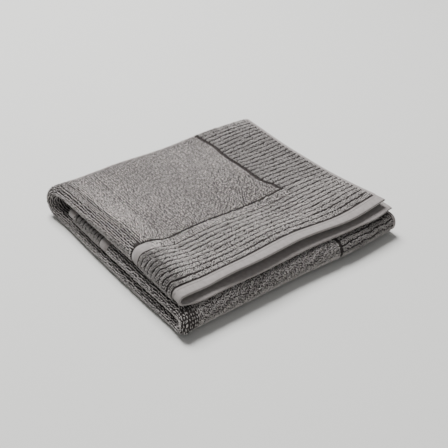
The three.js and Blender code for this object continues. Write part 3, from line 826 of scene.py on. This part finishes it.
def terry_yarn_material(colour):
    """Soft ring-spun cotton yarn in uncut loops.

    It looks matt and a little fuzzy at its rim. Each loop has its own tone at random, and painted shade makes
    it darker towards its feet; the zones' and patterns' shades, which are painted light and shade, come in
    through the same attribute.
    Fibres are drawn 0.5 mm apart, coarser than they are, so that they show.
    """
    material, tree = new_material("terry_yarn_ring_spun_cotton")
    place = add_node(tree, "ShaderNodeTexCoord")
    shade = add_node(tree, "ShaderNodeAttribute", {"attribute_name": "shade"})
    fibre = add_node(tree, "ShaderNodeTexNoise", None, {
        "Vector": place.outputs["Object"], "Scale": 1 / (0.5 * MM), "Detail": 2.0})
    finish_shader(tree, {
        "Base Color": tinted(tree, colour, shade.outputs["Fac"]),
        "Roughness": 0.95, "Specular IOR Level": 0.2, "Sheen Weight": 0.25, "Sheen Roughness": 0.6,
        "Normal": bumped(tree, fibre.outputs["Fac"], 0.5, 0.2)})
    return material


def ground_weave_painted_shade_material(colour):
    """Loosely woven cotton under the loops.

    It is drawn dark, a painted shade for the little light that reaches it between the loops, with lumps 1.6
    mm apart where the loops are bound in.
    """
    material, tree = new_material("terry_ground_weave_painted_shade")
    place = add_node(tree, "ShaderNodeTexCoord")
    weave = add_node(tree, "ShaderNodeTexNoise", None, {
        "Vector": place.outputs["Object"], "Scale": 1 / (1.6 * MM), "Detail": 3.0})
    finish_shader(tree, {
        "Base Color": (*colour, 1), "Roughness": 1.0, "Specular IOR Level": 0.1,
        "Normal": bumped(tree, weave.outputs["Fac"], 1.0, 1.0)})
    return material


def woven_hem_material(colour):
    """Plain woven cotton, smooth and tight.

    It looks even and lighter than the loops, with a faint grain of thick and thin yarn. Threads are about
    0.6 mm apart, and drawn at 1.2 mm so that they show.
    """
    material, tree = new_material("plain_woven_cotton")
    cloth = add_node(tree, "ShaderNodeUVMap", {"uv_map": "cloth"})
    warp, weft = (
        add_node(tree, "ShaderNodeTexWave", {"bands_direction": direction}, {
            "Vector": cloth.outputs["UV"], "Scale": 0.314 / (1.2 * MM), "Distortion": 0.6})
        for direction in ("X", "Y")
    )
    threads = add_node(tree, "ShaderNodeMath", {"operation": "MULTIPLY"}, {
        0: warp.outputs["Fac"], 1: weft.outputs["Fac"]})
    slub = add_node(tree, "ShaderNodeTexNoise", None, {
        "Vector": cloth.outputs["UV"], "Scale": 1 / (4 * MM), "Detail": 4.0})
    tone = add_node(tree, "ShaderNodeMapRange", None, {
        "Value": slub.outputs["Fac"], "From Min": 0.3, "From Max": 0.7, "To Min": 0.86, "To Max": 1.08})
    finish_shader(tree, {
        "Base Color": tinted(tree, colour, tone.outputs["Result"]),
        "Roughness": 0.85, "Specular IOR Level": 0.3, "Sheen Weight": 0.15, "Sheen Roughness": 0.5,
        "Normal": bumped(tree, threads.outputs["Value"], 0.7, 0.25)})
    return material


def floor_material(colour):
    """Board with matt paint. It looks plain and pale, with a soft shadow and no gloss."""
    material, tree = new_material("matt_painted_board")
    finish_shader(tree, {"Base Color": (*colour, 1), "Roughness": 0.9})
    return material


# Lamps of the stage, in metres and watts
LAMPS = [
    {"name": "key_light", "place": (0.12, 0.95, 1.95), "size": 1.1, "power": 100},
    {"name": "fill_light", "place": (-0.6, -1.6, 1.5), "size": 1.8, "power": 5},
]
WORLD_STRENGTH = 0.22
FLOOR = {"reach": 6.0, "level": -0.0003}  # just under the towel, in metres


# Operators


class TOWEL_OT_build_cloth(bpy.types.Operator):
    """Builds the folded cloth with its woven hems, strip and selvedges"""
    bl_idname = "towel.build_cloth"
    bl_label = "Build Cloth"

    def execute(self, context):
        colours = context.scene.towel_colours
        piece = build_cloth()
        piece.data.materials.append(ground_weave_painted_shade_material(colours.ground))
        piece.data.materials.append(woven_hem_material(colours.woven))
        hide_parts("towel")
        return {"FINISHED"}


class TOWEL_OT_build_pile(bpy.types.Operator):
    bl_idname = "towel.build_pile"
    bl_label = "Build Pile"

    def execute(self, context):
        yarn = terry_yarn_material(context.scene.towel_colours.yarn)
        for zone in ZONES:
            piece = build_loops(zone, context.scene.towel_pile)
            piece.data.materials.append(yarn)
        return {"FINISHED"}


class TOWEL_OT_build_stitches(bpy.types.Operator):
    """Builds the lockstitches of both hems"""
    bl_idname = "towel.build_stitches"
    bl_label = "Build Stitches"

    def execute(self, context):
        piece = build_stitches()
        piece.data.materials.append(bpy.data.materials["plain_woven_cotton"])
        return {"FINISHED"}


class TOWEL_OT_build_stage(bpy.types.Operator):
    """Builds the floor, the studio lights and the camera"""
    bl_idname = "towel.build_stage"
    bl_label = "Build Stage"

    def execute(self, context):
        settings = context.scene.towel_stage
        mesh = bpy.data.meshes.new("floor")
        corners = ((-1, -1), (1, -1), (1, 1), (-1, 1))
        mesh.from_pydata([(x * FLOOR["reach"], y * FLOOR["reach"], FLOOR["level"]) for x, y in corners],
                         [], [(0, 1, 2, 3)])
        mesh.materials.append(floor_material(context.scene.towel_colours.floor))
        floor = bpy.data.objects.new("floor", mesh)
        context.scene.collection.objects.link(floor)

        for lamp in LAMPS:
            light = bpy.data.lights.new(lamp["name"], "AREA")
            light.shape = "DISK"
            light.size = lamp["size"]
            light.energy = lamp["power"]
            lamp_object = bpy.data.objects.new(lamp["name"], light)
            lamp_object.location = lamp["place"]
            lamp_object.rotation_mode = "QUATERNION"
            lamp_object.rotation_quaternion = (-Vector(lamp["place"])).to_track_quat("-Z", "Y")
            context.scene.collection.objects.link(lamp_object)
        world = bpy.data.worlds.new("studio")
        world.use_nodes = True
        world.node_tree.nodes["Background"].inputs["Color"].default_value = (1, 1, 1, 1)
        world.node_tree.nodes["Background"].inputs["Strength"].default_value = WORLD_STRENGTH
        context.scene.world = world

        camera = bpy.data.cameras.new("camera")
        camera.sensor_width = 36
        camera.lens = 18 / math.tan(settings.field / 2)
        camera_object = bpy.data.objects.new("camera", camera)
        turn, rise = settings.azimuth, settings.elevation
        back = Vector((math.sin(turn) * math.cos(rise), -math.cos(turn) * math.cos(rise), math.sin(rise)))
        camera_object.location = Vector(settings.target) + back * settings.distance
        camera_object.rotation_mode = "QUATERNION"
        camera_object.rotation_quaternion = (-back).to_track_quat("-Z", "Y")
        context.scene.collection.objects.link(camera_object)
        context.scene.camera = camera_object
        return {"FINISHED"}


class TOWEL_PT_build(bpy.types.Panel):
    """Lists the towel's settings and the operators that build it"""
    bl_idname = "TOWEL_PT_build"
    bl_label = "Folded Foot Towel"
    bl_space_type = "VIEW_3D"
    bl_region_type = "UI"
    bl_category = "Towel"

    def draw(self, context):
        layout = self.layout
        for settings in (context.scene.towel_pile, context.scene.towel_colours, context.scene.towel_stage):
            for name in settings.__annotations__:
                layout.prop(settings, name)
        for operator in OPERATORS:
            layout.operator(operator.bl_idname)


OPERATORS = (TOWEL_OT_build_cloth, TOWEL_OT_build_pile, TOWEL_OT_build_stitches, TOWEL_OT_build_stage)
SETTINGS = {
    "towel_pile": TowelPileSettings,
    "towel_colours": TowelColourSettings,
    "towel_stage": TowelStageSettings,
}


def register():
    for name, group in SETTINGS.items():
        bpy.utils.register_class(group)
        setattr(bpy.types.Scene, name, PointerProperty(type=group))
    for item in (*OPERATORS, TOWEL_PT_build):
        bpy.utils.register_class(item)


def unregister():
    for item in reversed((*OPERATORS, TOWEL_PT_build)):
        bpy.utils.unregister_class(item)
    for name, group in reversed(SETTINGS.items()):
        delattr(bpy.types.Scene, name)
        bpy.utils.unregister_class(group)


def main():
    """Registers the add-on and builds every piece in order."""
    register()
    bpy.ops.towel.build_cloth()
    bpy.ops.towel.build_pile()
    bpy.ops.towel.build_stitches()
    bpy.ops.towel.build_stage()


if __name__ == "__main__":
    main()
